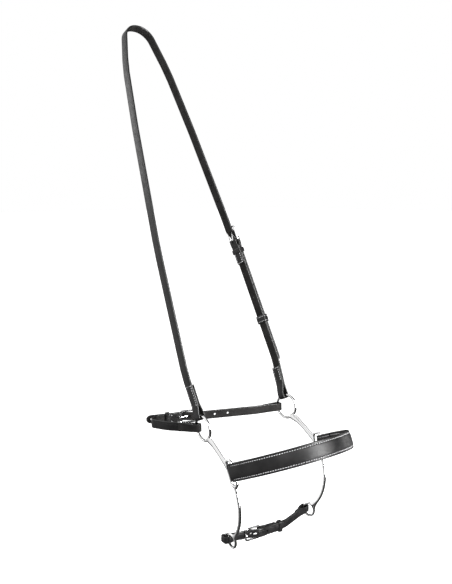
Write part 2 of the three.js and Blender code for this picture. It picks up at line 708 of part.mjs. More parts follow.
const pollRise = CROWN_RISE - HEADSTALL.thick / 2;
const layout = new THREE.Group();
layout.position.set(
  pollRise * Math.sin(rad(HEADSTALL_TILT)), 0, -pollRise * Math.cos(rad(HEADSTALL_TILT)));
layout.add(headstall, nearShank, offShank, noseband, curb, joining);

const hackamore = new THREE.Group();
hackamore.add(layout);

export default hackamore;
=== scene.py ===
"""Bitless hackamore: leather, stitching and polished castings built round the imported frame.

Lengths are in millimetres and angles in degrees until a mesh is made; meshes are in metres.
Routes are laid out from the middle of the line through the two upper rings, as the frame is:
x forward to the nose, y to the near side, z up.
"""
import json
import math

import bmesh
import bpy
import numpy as np
from mathutils import Matrix, Vector


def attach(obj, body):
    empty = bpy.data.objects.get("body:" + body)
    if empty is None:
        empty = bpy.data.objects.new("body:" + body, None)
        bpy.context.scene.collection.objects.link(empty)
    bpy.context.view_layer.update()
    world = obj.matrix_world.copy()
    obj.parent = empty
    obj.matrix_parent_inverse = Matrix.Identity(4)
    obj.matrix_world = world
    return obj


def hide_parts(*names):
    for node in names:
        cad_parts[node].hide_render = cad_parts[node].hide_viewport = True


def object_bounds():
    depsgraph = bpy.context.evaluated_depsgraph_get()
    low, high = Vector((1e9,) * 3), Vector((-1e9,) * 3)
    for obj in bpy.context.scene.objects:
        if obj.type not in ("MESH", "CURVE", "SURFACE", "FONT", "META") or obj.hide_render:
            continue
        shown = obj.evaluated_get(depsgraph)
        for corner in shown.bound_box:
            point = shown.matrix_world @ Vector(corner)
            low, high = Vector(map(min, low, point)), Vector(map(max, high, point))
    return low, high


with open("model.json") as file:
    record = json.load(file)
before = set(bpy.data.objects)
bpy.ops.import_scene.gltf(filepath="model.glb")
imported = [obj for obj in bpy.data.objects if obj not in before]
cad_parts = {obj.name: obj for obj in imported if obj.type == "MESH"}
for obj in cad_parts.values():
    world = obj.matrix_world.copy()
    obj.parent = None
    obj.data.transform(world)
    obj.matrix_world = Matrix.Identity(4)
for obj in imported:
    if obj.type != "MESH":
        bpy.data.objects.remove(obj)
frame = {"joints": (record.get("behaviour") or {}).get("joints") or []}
CAD_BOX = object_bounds()

MM = 0.001

JOINTS = {joint["name"]: joint for joint in frame["joints"]}
RING_LINE = Vector(JOINTS["off_shank_swing"]["pos_m"])

RING_HALF_SPACING = 83.0
SHANK_YAW = 6.8
SHANK_LEAN = 4.5
HEADSTALL_TILT = 24.6
CROWN_RISE = 650.0
NOSEBAND_LEAN = 23.2
NOSEBAND_RAISE = 1.7
CURB_DROP = 2.5
CURB_PITCH = 3.2
JOINING_DROP = 0.4
JOINING_ROLL = 0.2
GAP = 0.3

HEADSTALL = {"width": 15.5, "thick": 2.8, "fold": 2.0, "narrow": 12.5}
CURB = {"width": 13.0, "thick": 2.6, "fold": 1.9, "narrow": 11.0}
JOINING = {"width": 12.6, "thick": 2.6, "fold": 1.9, "narrow": 9.2}

SHANK_THICK = 4.4
UPPER_RING = {"outer": 19.5, "inner": 15.7}
LOWER_RING = {"outer": 11.0, "inner": 7.3}
SLOT_BAR = 4.2
SLOT_OPENING = {"width": 9.4, "length": 31.5}
SLOT_CENTRE = (64.4, -46.2)
ROD_WIDTH = 5.4
LOWER_RING_CENTRE = (53.4, -147.3)

NOSEBAND_WIDTH = 24.4
NOSEBAND_DEPTH = 107.0
FACE_THICK = 2.2
PADDING_THICK = 3.8
LINING_THICK = 1.2

BUCKLE_WIRE = 1.3
TONGUE_WIRE = 0.95
KEEPER_WALL = 1.3
KEEPER_CLEAR = 0.35
TOE = 23.0
BAR_GAP = 0.5


# ---- plane vectors ---------------------------------------------------------------------

def v2(x, y):
    return np.array((x, y), float)


def unit(v):
    return v / np.linalg.norm(v)


def left_of(v):
    """The direction a quarter turn to the left of v."""
    return v2(-v[1], v[0])


def plane(x_axis, y_axis, origin=(0, 0, 0)):
    """A plane's own X, Y and Z = X x Y, with its origin in millimetres from the ring line."""
    x = Vector(x_axis).normalized()
    z = x.cross(Vector(y_axis)).normalized()
    y = z.cross(x)
    matrix = Matrix((x, y, z)).transposed().to_4x4()
    matrix.translation = RING_LINE / MM + Vector(origin)
    return matrix


def rise(angle):
    return math.cos(math.radians(angle)), math.sin(math.radians(angle))


# ---- routes ----------------------------------------------------------------------------

def corner(at, radius, thick):
    return (np.array(at, float), radius, thick)


class Route:
    """A strap's centre line in its plane: straight runs joined by tangent arcs."""

    def __init__(self, corners, arc_step=7.0, straight_step=6.0, closed=False):
        self.closed = closed
        self.at, self.normal, self.thick = [], [], []
        count = len(corners)
        for i, (at, radius, thick) in enumerate(corners):
            before = corners[(i - 1) % count][0]
            after = corners[(i + 1) % count][0]
            if not closed and i in (0, count - 1):
                along = unit(after - at) if i == 0 else unit(at - before)
                self.add(at, left_of(along), thick, straight_step)
                continue
            into, out = unit(at - before), unit(after - at)
            turn = math.atan2(into[0] * out[1] - into[1] * out[0], into @ out)
            side = math.copysign(1, turn)
            start = at - into * radius * math.tan(abs(turn) / 2)
            centre = start + left_of(into) * side * radius
            steps = max(1, math.ceil(abs(math.degrees(turn)) / arc_step))
            for k in range(steps + 1):
                c, s = math.cos(turn * k / steps), math.sin(turn * k / steps)
                n = left_of(into)
                normal = v2(n[0] * c - n[1] * s, n[0] * s + n[1] * c)
                self.add(centre - normal * side * radius, normal, thick, straight_step)
        self.at, self.normal = np.array(self.at), np.array(self.normal)
        self.thick = np.array(self.thick)
        gaps = np.linalg.norm(np.diff(self.at, axis=0), axis=1)
        self.s = np.concatenate([[0], np.cumsum(gaps)])
        self.length = self.s[-1]

    def add(self, at, normal, thick, step):
        """Adds one sample, with others before it where the run up to it is long."""
        if self.at:
            last, last_normal, last_thick = self.at[-1], self.normal[-1], self.thick[-1]
            run = np.linalg.norm(at - last)
            if run < 1e-3:
                return
            for k in range(1, math.ceil(run / step)):
                t = k / math.ceil(run / step)
                self.at.append(last + (at - last) * t)
                self.normal.append(unit(last_normal * (1 - t) + normal * t))
                self.thick.append(last_thick * (1 - t) + thick * t)
        self.at.append(at)
        self.normal.append(normal)
        self.thick.append(thick)

    def sample(self, s):
        """The point, normal and thickness at a distance along the route."""
        at = v2(np.interp(s, self.s, self.at[:, 0]), np.interp(s, self.s, self.at[:, 1]))
        normal = v2(np.interp(s, self.s, self.normal[:, 0]), np.interp(s, self.s, self.normal[:, 1]))
        return at, unit(normal), np.interp(s, self.s, self.thick)

    def nearest(self, point):
        """The distance along the route of its nearest point."""
        fine = np.linspace(0, self.length, 4000)
        x = np.interp(fine, self.s, self.at[:, 0])
        y = np.interp(fine, self.s, self.at[:, 1])
        return fine[np.argmin(np.hypot(x - point[0], y - point[1]))]


def loop_route(left, right, half, radius, thick, arc_step, straight_step):
    """A closed route round a rectangle with rounded corners."""
    spots = [(right, half), (left, half), (left, -half), (right, -half)]
    return Route([corner(spot, radius, thick) for spot in spots], arc_step, straight_step, closed=True)


# ---- meshes ----------------------------------------------------------------------------

GRAIN, FLESH, EDGE = 0, 1, 2
SKIVE_LENGTH = 5.0
SHARP_ANGLE = math.radians(48)


def circle(sides):
    """The cosine and sine of evenly spaced angles round a circle."""
    angles = [2 * math.pi * k / sides for k in range(sides)]
    return [(math.cos(angle), math.sin(angle)) for angle in angles]


def shade(piece):
    """Smooth shading, except at real corners."""
    piece.data.shade_smooth()
    piece.data.set_sharp_from_angle(angle=SHARP_ANGLE)


def linked_object(name, data):
    made = bpy.data.objects.new(name, data)
    bpy.context.scene.collection.objects.link(made)
    return made


def mesh_object(name, bm, materials):
    """An object made from a closed bmesh, which is freed."""
    bmesh.ops.recalc_face_normals(bm, faces=bm.faces)
    mesh = bpy.data.meshes.new(name)
    bm.to_mesh(mesh)
    bm.free()
    for material in materials:
        mesh.materials.append(material)
    return linked_object(name, mesh)


def new_piece(name, bm, materials, body):
    """A visible piece that rides on a body."""
    piece = mesh_object(name, bm, materials)
    shade(piece)
    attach(piece, body)
    return piece


def skin(bm, rings, closed=False, kinds=None):
    """Joins rings of points into a tube, with flat ends unless closed. Returns its vertices."""
    made = [[bm.verts.new(p) for p in ring] for ring in rings]
    count, sides = len(made), len(made[0])
    for i in range(count if closed else count - 1):
        a, b = made[i], made[(i + 1) % count]
        for k in range(sides):
            face = bm.faces.new((a[k], a[(k + 1) % sides], b[(k + 1) % sides], b[k]))
            face.material_index = kinds[k] if kinds else 0
    if not closed:
        for end in (made[0], made[-1][::-1]):
            bm.faces.new(end).material_index = EDGE if kinds else 0
    return made


def strap_section(half_width, half_thick, puff, crease, inset):
    """
    Points (out, across) round a strap, from one edge of the grain face, and each side's material.
    The grain face is crowned, or raised by puff where it is padded, and creased along its edges.
    """
    edge = min(half_thick * 0.92, 1.1)
    flat = half_width - edge
    line = half_width - inset
    points, kinds = [], []
    face = [(-flat, 0.0)]
    for sign in (-1, 1):
        stretch = [(line + 0.55, 0.0), (line, -crease),
                   (line - 0.55, puff * 0.25), (line - 2.2, puff * 0.8)]
        ordered = stretch if sign < 0 else stretch[::-1]
        face += [(sign * across, out) for across, out in ordered]
        if sign < 0:
            face.append((0.0, puff))
    face.append((flat, 0.0))
    for across, out in face:
        points.append((half_thick + out, across))
        kinds.append(GRAIN)
    kinds[-1] = EDGE
    for k in range(1, 6):
        angle = math.pi / 2 - math.pi * k / 6
        points.append((half_thick * math.sin(angle), flat + edge * math.cos(angle)))
        kinds.append(EDGE)
    for across in (flat, flat * 0.4, -flat * 0.4, -flat):
        points.append((-half_thick, across))
        kinds.append(FLESH)
    kinds[-1] = EDGE
    for k in range(1, 6):
        angle = -math.pi / 2 - math.pi * k / 6
        points.append((half_thick * math.sin(angle), -flat + edge * math.cos(angle)))
        kinds.append(EDGE)
    return points, kinds


def strap(name, route, place, width, body, grain=1, width_at=None,
          tip=0.0, puff=0.12, crease=0.16, inset=2.4, skive=(), materials=None):
    """
    A leather strap along a route. grain is 1 where the grain side is on the left of the route.
    tip rounds the far end over that length; skive thins the ends named 0 (start) and 1 (far end).
    """
    rings, kinds = [], None
    for i, (at, normal) in enumerate(zip(route.at, route.normal)):
        share = width_at(at) if width_at else 1.0
        left = route.length - route.s[i]
        if tip and left < tip:
            share *= 0.22 + 0.78 * math.sqrt(max(0.0, 1 - (1 - left / tip) ** 2))
        half_thick = route.thick[i] / 2
        for end, distance in ((0, route.s[i]), (1, left)):
            if end in skive and distance < SKIVE_LENGTH:
                half_thick *= 0.55 + 0.45 * distance / SKIVE_LENGTH
        points, kinds = strap_section(width / 2 * share, half_thick, puff, crease, inset)
        ring = []
        for out, across in points:
            p = at + normal * grain * out
            ring.append(place @ Vector((p[0], p[1], across)) * MM)
        rings.append(ring)
    bm = bmesh.new()
    made = skin(bm, rings, route.closed, kinds)
    uv = bm.loops.layers.uv.new("UVMap")
    where = {}
    for i, ring in enumerate(made):
        for k, vert in enumerate(ring):
            where[vert] = (route.s[i] * MM * 10, points[k][1] * MM * 10)
    for f in bm.faces:
        for loop in f.loops:
            loop[uv].uv = where[loop.vert]
    return new_piece(name, bm, materials or [leather, flesh, edge_paint], body)


def ends_refined(route, length, step):
    """Extra samples over the far end of a route, so that a rounded tip has a smooth outline."""
    for s in np.arange(route.length - length, route.length, step):
        at, normal, thick = route.sample(s)
        i = int(np.searchsorted(route.s, s))
        if abs(route.s[i] - s) < 0.2:
            continue
        route.at = np.insert(route.at, i, at, axis=0)
        route.normal = np.insert(route.normal, i, normal, axis=0)
        route.thick = np.insert(route.thick, i, thick)
        route.s = np.insert(route.s, i, s)
    return route


def bar(bm, points, radii, place, side, sides, widen=1.0, closed=False):
    """A bar through points in a plane's own space, widened to each side."""
    points = [np.array(p, float) for p in points]
    side = np.array(side, float)
    count = len(points)
    rings = []
    for i, (p, radius) in enumerate(zip(points, radii)):
        before = points[(i - 1) % count] if closed or i else p
        after = points[(i + 1) % count] if closed or i < count - 1 else p
        along = unit(after - before)
        u = unit(side - along * (side @ along))
        v = np.cross(along, u)
        rings.append([place @ Vector(p + (u * c * widen + v * s) * radius) * MM for c, s in circle(sides)])
    skin(bm, rings, closed)


def punch(piece, centres, place, toward, length, width):
    """Cuts holes straight through a strap's thickness, each with its length in one direction."""
    bm = bmesh.new()
    sides, depth = 20, 6
    reach = (length - width) / 2
    angle = math.atan2(toward[1], toward[0])
    for x, y in centres:
        turn = place @ Matrix.Translation((x, y, 0)) @ Matrix.Rotation(angle, 4, "Z")
        outline = [(c * width / 2 + math.copysign(reach, c), s * width / 2) for c, s in circle(sides)]
        rings = [[turn @ Vector((along, level, across)) * MM for along, across in outline]
                 for level in (-depth, depth)]
        skin(bm, rings, kinds=[EDGE] * sides)
    cutter = mesh_object("punch", bm, piece.data.materials)
    modifier = piece.modifiers.new("punch", "BOOLEAN")
    modifier.operation, modifier.object, modifier.solver = "DIFFERENCE", cutter, "EXACT"
    apply_modifiers(piece)
    bpy.data.objects.remove(cutter)
    shade(piece)


def apply_modifiers(piece):
    """Puts the result of every modifier into the mesh."""
    bpy.context.view_layer.update()
    evaluated = piece.evaluated_get(bpy.context.evaluated_depsgraph_get())
    made = bpy.data.meshes.new_from_object(evaluated)
    piece.modifiers.clear()
    old = piece.data
    piece.data = made
    bpy.data.meshes.remove(old)


# ---- stitching -------------------------------------------------------------------------

STITCH_PITCH = 3.4
STITCH_LENGTH = 2.4
THREAD_RADIUS = 0.42


def stitch(bm, at, along, out, across, slant):
    """One stitch: a short thread that dips into the leather at both ends."""
    sides, steps = 6, 5
    rings = []
    direction = (along + across * slant).normalized()
    side = out.cross(direction).normalized()
    for i in range(steps + 1):
        t = i / steps * 2 - 1
        centre = at + direction * t * STITCH_LENGTH / 2 + out * (0.22 - 0.5 * t * t)
        radius = THREAD_RADIUS * (1 - 0.45 * t ** 4)
        rings.append([(centre + (side * c + out * s) * radius) * MM for c, s in circle(sides)])
    skin(bm, rings)


def directions_on(place, normal, face):
    """The ways out of, along and across a strap at a point on one of its faces."""
    turn = place.to_3x3()
    along = -left_of(normal)
    return (turn @ Vector((*normal, 0))) * face, turn @ Vector((*along, 0)), turn @ Vector((0, 0, 1))


def edge_rows(width, inset):
    """Where two rows of stitches lie across a strap."""
    return -width / 2 + inset, width / 2 - inset


def stitch_rows(bm, route, place, face, rows, start, end, width_at=None):
    """Rows of stitches on one face of a strap, at distances across it, between two distances along."""
    count = max(1, round((end - start) / STITCH_PITCH))
    for i in range(count + 1):
        s = start + (end - start) * i / count
        at, normal, thick = route.sample(s)
        share = width_at(at) if width_at else 1.0
        out, along, across = directions_on(place, normal, face)
        p = at + normal * face * thick / 2
        for row in rows:
            stitch(bm, place @ Vector((*p, row * share)), along, out, across, 0.12)


def cross_stitches(bm, route, place, face, half, s, width_at=None):
    """A row of stitches straight across a strap."""
    at, normal, thick = route.sample(s)
    share = width_at(at) if width_at else 1.0
    count = max(2, round(2 * half * share / STITCH_PITCH))
    out, along, across = directions_on(place, normal, face)
    p = at + normal * face * thick / 2
    for i in range(count):
        row = (-half + 2 * half * (i + 0.5) / count) * share
        stitch(bm, place @ Vector((*p, row)), across, out, along, 0.1)


# ---- materials -------------------------------------------------------------------------

def material(name):
    made = bpy.data.materials.new(name)
    made.use_nodes = True
    return made, made.node_tree, made.node_tree.nodes["Principled BSDF"]


def noise(tree, scale, detail, stretch=(1, 1, 1)):
    where = tree.nodes.new("ShaderNodeTexCoord")
    mapping = tree.nodes.new("ShaderNodeMapping")
    mapping.inputs["Scale"].default_value = stretch
    texture = tree.nodes.new("ShaderNodeTexNoise")
    texture.inputs["Scale"].default_value = scale
    texture.inputs["Detail"].default_value = detail
    texture.inputs["Roughness"].default_value = 0.55
    tree.links.new(where.outputs["Object"], mapping.inputs["Vector"])
    tree.links.new(mapping.outputs["Vector"], texture.inputs["Vector"])
    return texture.outputs["Fac"]


def ramp(tree, value, low, high, low_at=0.3, high_at=0.7):
    """Maps a value to a colour between two ends."""
    made = tree.nodes.new("ShaderNodeValToRGB")
    first, last = made.color_ramp.elements
    first.position, last.position = low_at, high_at
    first.color, last.color = (*low, 1), (*high, 1)
    tree.links.new(value, made.inputs["Fac"])
    return made.outputs["Color"]


def grey(v):
    return (v, v, v)


def vary(tree, socket, scale, detail, low, high):
    """Makes one of a shader's inputs wander between two colours over the surface."""
    tree.links.new(ramp(tree, noise(tree, scale, detail), low, high), socket)


def bump(tree, height, strength, distance, under=None):
    made = tree.nodes.new("ShaderNodeBump")
    made.inputs["Strength"].default_value = strength
    made.inputs["Distance"].default_value = distance
    tree.links.new(height, made.inputs["Height"])
    if under is not None:
        tree.links.new(under, made.inputs["Normal"])
    return made.outputs["Normal"]


def pebble(tree, scale):
    """Leather's grain: small cells with sunken borders."""
    where = tree.nodes.new("ShaderNodeTexCoord")
    cells = tree.nodes.new("ShaderNodeTexVoronoi")
    cells.feature = "DISTANCE_TO_EDGE"
    cells.inputs["Scale"].default_value = scale
    tree.links.new(where.outputs["Object"], cells.inputs["Vector"])
    return ramp(tree, cells.outputs["Distance"], grey(0), grey(1), 0.0, 0.22)


def leather_material(name, dark, light, rough, specular, grain_scale, grain_depth):
    made, tree, shader = material(name)
    shader.inputs["Specular IOR Level"].default_value = specular
    vary(tree, shader.inputs["Base Color"], 55, 6, dark, light)
    vary(tree, shader.inputs["Roughness"], 140, 5, grey(rough[0]), grey(rough[1]))
    creases = bump(tree, noise(tree, 210, 6, (1, 1, 0.35)), 0.35, 0.00025)
    grain = bump(tree, pebble(tree, grain_scale), 0.5, grain_depth, creases)
    tree.links.new(grain, shader.inputs["Normal"])
    return made


def edge_material():
    """Burnished and painted strap edges."""
    made, tree, shader = material("painted_edge")
    vary(tree, shader.inputs["Base Color"], 90, 3, grey(0.003), grey(0.007))
    vary(tree, shader.inputs["Roughness"], 400, 3, grey(0.24), grey(0.4))
    tree.links.new(bump(tree, noise(tree, 700, 3), 0.25, 0.0001), shader.inputs["Normal"])
    return made


def padding_material():
    """Dense foam with a fine open surface."""
    made, tree, shader = material("padding_foam")
    vary(tree, shader.inputs["Base Color"], 800, 4, grey(0.004), grey(0.016))
    shader.inputs["Roughness"].default_value = 0.85
    shader.inputs["Sheen Weight"].default_value = 0.15
    tree.links.new(bump(tree, pebble(tree, 2200), 0.7, 0.0001), shader.inputs["Normal"])
    return made


def thread_material():
    """Waxed linen thread: a pale grey twist."""
    made, tree, shader = material("waxed_thread")
    vary(tree, shader.inputs["Base Color"], 900, 3, (0.22, 0.22, 0.225), (0.42, 0.42, 0.43))
    shader.inputs["Roughness"].default_value = 0.6
    tree.links.new(bump(tree, noise(tree, 2600, 2, (1, 3, 1)), 0.6, 0.0001), shader.inputs["Normal"])
    return made


def steel_material(name, rough, bright):
    """Polished stainless steel with faint polishing marks and handling smears."""
    made, tree, shader = material(name)
    shader.inputs["Metallic"].default_value = 1.0
    vary(tree, shader.inputs["Base Color"], 40, 4, grey(bright * 0.93), grey(bright))
    vary(tree, shader.inputs["Roughness"], 160, 6, grey(rough[0]), grey(rough[1]))
    marks = bump(tree, noise(tree, 900, 3, (1, 1, 0.12)), 0.12, 0.00004)
    tree.links.new(bump(tree, noise(tree, 95, 2), 0.08, 0.0002, marks), shader.inputs["Normal"])
    return made


leather = leather_material("bridle_leather", (0.0028, 0.0028, 0.0031), (0.0105, 0.0100, 0.0102),
                           (0.27, 0.42), 0.25, 1500, 0.00006)
flesh = leather_material("flesh_side", (0.006, 0.0057, 0.0055), (0.014, 0.0132, 0.0128),
                         (0.6, 0.8), 0.13, 900, 0.00010)
lining_leather = leather_material("lining_leather", (0.007, 0.0068, 0.0068), (0.014, 0.0135, 0.0135),
                                  (0.45, 0.6), 0.22, 1200, 0.00008)
edge_paint = edge_material()
padding_foam = padding_material()
thread = thread_material()
casting = steel_material("polished_casting", (0.06, 0.13), 0.94)
buckle_steel = steel_material("polished_buckle", (0.1, 0.2), 0.8)


# ---- buckles and keepers ---------------------------------------------------------------
#
# s runs from the heel bar to the toe bar and h points to the side of the billet's tail.

TONGUE_HOLE = {"s": 9.9, "h": 1.4, "length": 12.8, "width": 3.2}
TONGUE_SLOT = {"s": 0.6, "h": 0, "length": 9.4, "width": 3.0}
FRAME_CORNER = 2.4
EYE_START, EYE_STEP = 257.2, 15.2
EYE_POINTS, PIN_POINTS = 22, 14


def buckle_heights(leather_size):
    """How far the middle of each layer of leather is from the buckle's bars, at each place."""
    wrap = BUCKLE_WIRE + BAR_GAP + leather_size["fold"] / 2
    main = 1.0
    tail = main - leather_size["thick"] / 2 - GAP - leather_size["fold"] / 2
    billet = main + leather_size["thick"] + GAP
    over_bar = wrap + leather_size["fold"] / 2 + GAP + leather_size["thick"] / 2 + 0.1
    under_toe = -(BUCKLE_WIRE + GAP + leather_size["thick"] / 2)
    return wrap, main, tail, billet, over_bar, under_toe


class Buckle:
    """Where a buckle is: its heel bar, the way to the toe bar, and the billet's side."""

    def __init__(self, surface, heel, to_toe, outward, leather_size):
        self.surface, self.heel = surface, np.array(heel, float)
        self.to_toe, self.outward = unit(np.array(to_toe, float)), unit(np.array(outward, float))
        self.size = leather_size
        turn = Matrix((
            (self.to_toe[0], self.outward[0], 0), (self.to_toe[1], self.outward[1], 0),
            (0, 0, self.to_toe[0] * self.outward[1] - self.to_toe[1] * self.outward[0])))
        self.place = surface @ Matrix.Translation((self.heel[0], self.heel[1], 0)) @ turn.to_4x4()

    def on(self, s, h):
        return self.heel + self.to_toe * s + self.outward * h

    def chape(self, length):
        wrap, main, tail, *_ = buckle_heights(self.size)
        thick, fold = self.size["thick"], self.size["fold"]
        return [
            corner(self.on(-13, main), 8, thick),
            corner(self.on(-5, wrap), 6, fold),
            corner(self.on(wrap, wrap), wrap * 0.98, fold),
            corner(self.on(wrap, -wrap), wrap * 0.98, fold),
            corner(self.on(-5, -wrap), 6, fold),
            corner(self.on(-14, tail), 12, fold),
            corner(self.on(-length, tail), 0, fold),
        ]

    def billet(self, tip_at, lead_in=12):
        _, _, _, billet, over_bar, under_toe = buckle_heights(self.size)
        thick = self.size["thick"]
        return [
            corner(self.on(TOE + lead_in, under_toe), lead_in, thick),
            corner(self.on(TOE - 3.5, under_toe), 12, thick),
            corner(self.on(3.5, over_bar), 12, thick),
            corner(self.on(-4, over_bar), 14, thick),
            corner(self.on(-13, billet), 16, thick),
            corner(self.on(tip_at, billet), 0, thick),
        ]


def buckle_frame(name, buckle, body):
    """A wire frame with rounded corners, fuller on the side bars than on the heel bar."""
    half = buckle.size["width"] / 2 + 0.7 + BUCKLE_WIRE
    points, radii = [], []
    for x, z in loop_route(0, TOE, half, FRAME_CORNER, BUCKLE_WIRE, 12, 3.0).at:
        side = min(1.0, max(0.0, (abs(z) - half + 2.0) / 2.0))
        toe = min(1.0, max(0.0, (x - TOE + 3) / 3))
        points.append((x, 0, z))
        radii.append(BUCKLE_WIRE * (0.96 + 0.12 * side + 0.08 * toe))
    bm = bmesh.new()
    bar(bm, points, radii, buckle.place, (0, 1, 0), 18, closed=True)
    piece = new_piece(name, bm, [buckle_steel], body)
    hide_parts(name)


def buckle_tongue(name, buckle, body):
    """A wire bent round the heel bar, tapering to a rounded tip that rests on the toe bar."""
    eye = BUCKLE_WIRE + GAP + TONGUE_WIRE
    points = []
    for k in range(EYE_POINTS):
        angle = math.radians(EYE_START - EYE_STEP * k)
        points.append((eye * math.cos(angle), eye * math.sin(angle), 0))
    radii = [TONGUE_WIRE * 1.05] * EYE_POINTS
    x, y, _ = points[-1]
    rest = eye + 0.05
    for k in range(PIN_POINTS):
        t = (k + 1) / PIN_POINTS
        bow = math.sin(math.pi * t) * 0.35
        points.append((x + (TOE + 1.9 - x) * t, y + (rest - y) * min(1, t * 1.15) + bow, 0))
        radii.append(TONGUE_WIRE * (1.05 - 0.2 * k / PIN_POINTS))
    points.append((TOE + 2.5, rest - 0.1, 0))
    radii.append(TONGUE_WIRE * 0.45)
    bm = bmesh.new()
    bar(bm, points, radii, buckle.place, (0, 0, 1), 12, widen=1.25)
    piece = new_piece(name, bm, [buckle_steel], body)
    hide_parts(name)


def keeper(name, buckle, s, length, low, high, body):
    """A closed leather loop round everything between two heights."""
    half_width = buckle.size["width"] / 2 + KEEPER_CLEAR + KEEPER_WALL / 2
    half_height = (high - low) / 2 + KEEPER_CLEAR + KEEPER_WALL / 2
    middle = (low + high) / 2
    turn = Matrix(((0, 0, 1), (0, 1, 0), (-1, 0, 0))).to_4x4()
    place = buckle.place @ Matrix.Translation((s, middle, 0)) @ turn
    route = loop_route(-half_width, half_width, half_height, 1.5, KEEPER_WALL, 12, 2.5)
    piece = strap(name, route, place, length, body, grain=-1, puff=0.1, crease=0.0)
    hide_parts(name)
    return route, place


def keeper_span(leather_size, over_chape):
    """The lowest and highest leather that a keeper goes round."""
    _, main, tail, billet, *_ = buckle_heights(leather_size)
    low = tail - leather_size["fold"] / 2 if over_chape else main - leather_size["thick"] / 2
    return low, billet + leather_size["thick"] / 2


def narrowing(leather_size, start, end, distance_of):
    """A strap's share of its full width, which it reaches between two distances."""
    least = leather_size["narrow"] / leather_size["width"]
    return lambda at: float(np.interp(distance_of(at), (start, end), (least, 1.0)))


def stitching(name, body, build):
    """One piece that holds all the stitches of a strap."""
    bm = bmesh.new()
    build(bm)
    new_piece(name, bm, [thread], body)


def cut_for_tongue(piece, buckle, cut):
    """The slot in a chape for the tongue's eye, or the hole in a billet that the tongue goes through."""
    centre = buckle.on(cut["s"], cut["h"])
    punch(piece, [centre], buckle.surface, buckle.to_toe, cut["length"], cut["width"])


# ---- headstall -------------------------------------------------------------------------

lift, back = rise(HEADSTALL_TILT)
HEADSTALL_PLANE = plane((0, 1, 0), (-back, 0, lift))
HEADSTALL_ROWS = edge_rows(HEADSTALL["width"], 2.2)
CHEEK_LOW = v2(88.6, 78)
CHEEK_HEEL = v2(77, 273)
CHEEK_UP = unit(CHEEK_HEEL - CHEEK_LOW)
cheek = Buckle(HEADSTALL_PLANE, CHEEK_HEEL, CHEEK_UP, v2(CHEEK_UP[1], -CHEEK_UP[0]), HEADSTALL)
RING_FOLD_TOP = 62.0
RING_FOLD_MEET, RING_FOLD_END = 86.0, 87.3
TEMPLE = v2(55.5, 466)


def ring_fold(side):
    """Leather folded round an upper ring, from the main strap to the end of the tail."""
    thick, fold = HEADSTALL["thick"], HEADSTALL["fold"]
    wire = RING_HALF_SPACING + 0.4
    slack = 3.8
    outer = wire + slack + fold / 2
    inner = wire - slack - fold / 2
    bottom = UPPER_RING["inner"] - 2.1 - fold / 2
    step = thick / 2 + fold / 2 + GAP + 0.1
    return [
        corner(v2(side * RING_FOLD_MEET, 34), 30, thick),
        corner(v2(side * outer, 20), 14, fold),
        corner(v2(side * outer, bottom), 3.4, fold),
        corner(v2(side * inner, bottom), 3.4, fold),
        corner(v2(side * inner, 20), 10, fold),
        corner(v2(side * (RING_FOLD_MEET - step), 35), 20, fold),
        corner(v2(side * (RING_FOLD_END - step), RING_FOLD_TOP), 0, fold),
    ]


def ring_fold_stitches(bm, route, side, grain, width_at):
    """Two rows up each leaf of a ring fold, and one across where the leaves part."""
    low = route.nearest((side * RING_FOLD_MEET, 33))
    high = route.nearest((side * RING_FOLD_END, RING_FOLD_TOP - 1.5))
    for start, end, crossing in ((low, high, high), (1.6, 20.0, 1.6)):
        stitch_rows(bm, route, HEADSTALL_PLANE, grain, HEADSTALL_ROWS, start, end, width_at)
        cross_stitches(bm, route, HEADSTALL_PLANE, grain, 5.0, crossing, width_at)


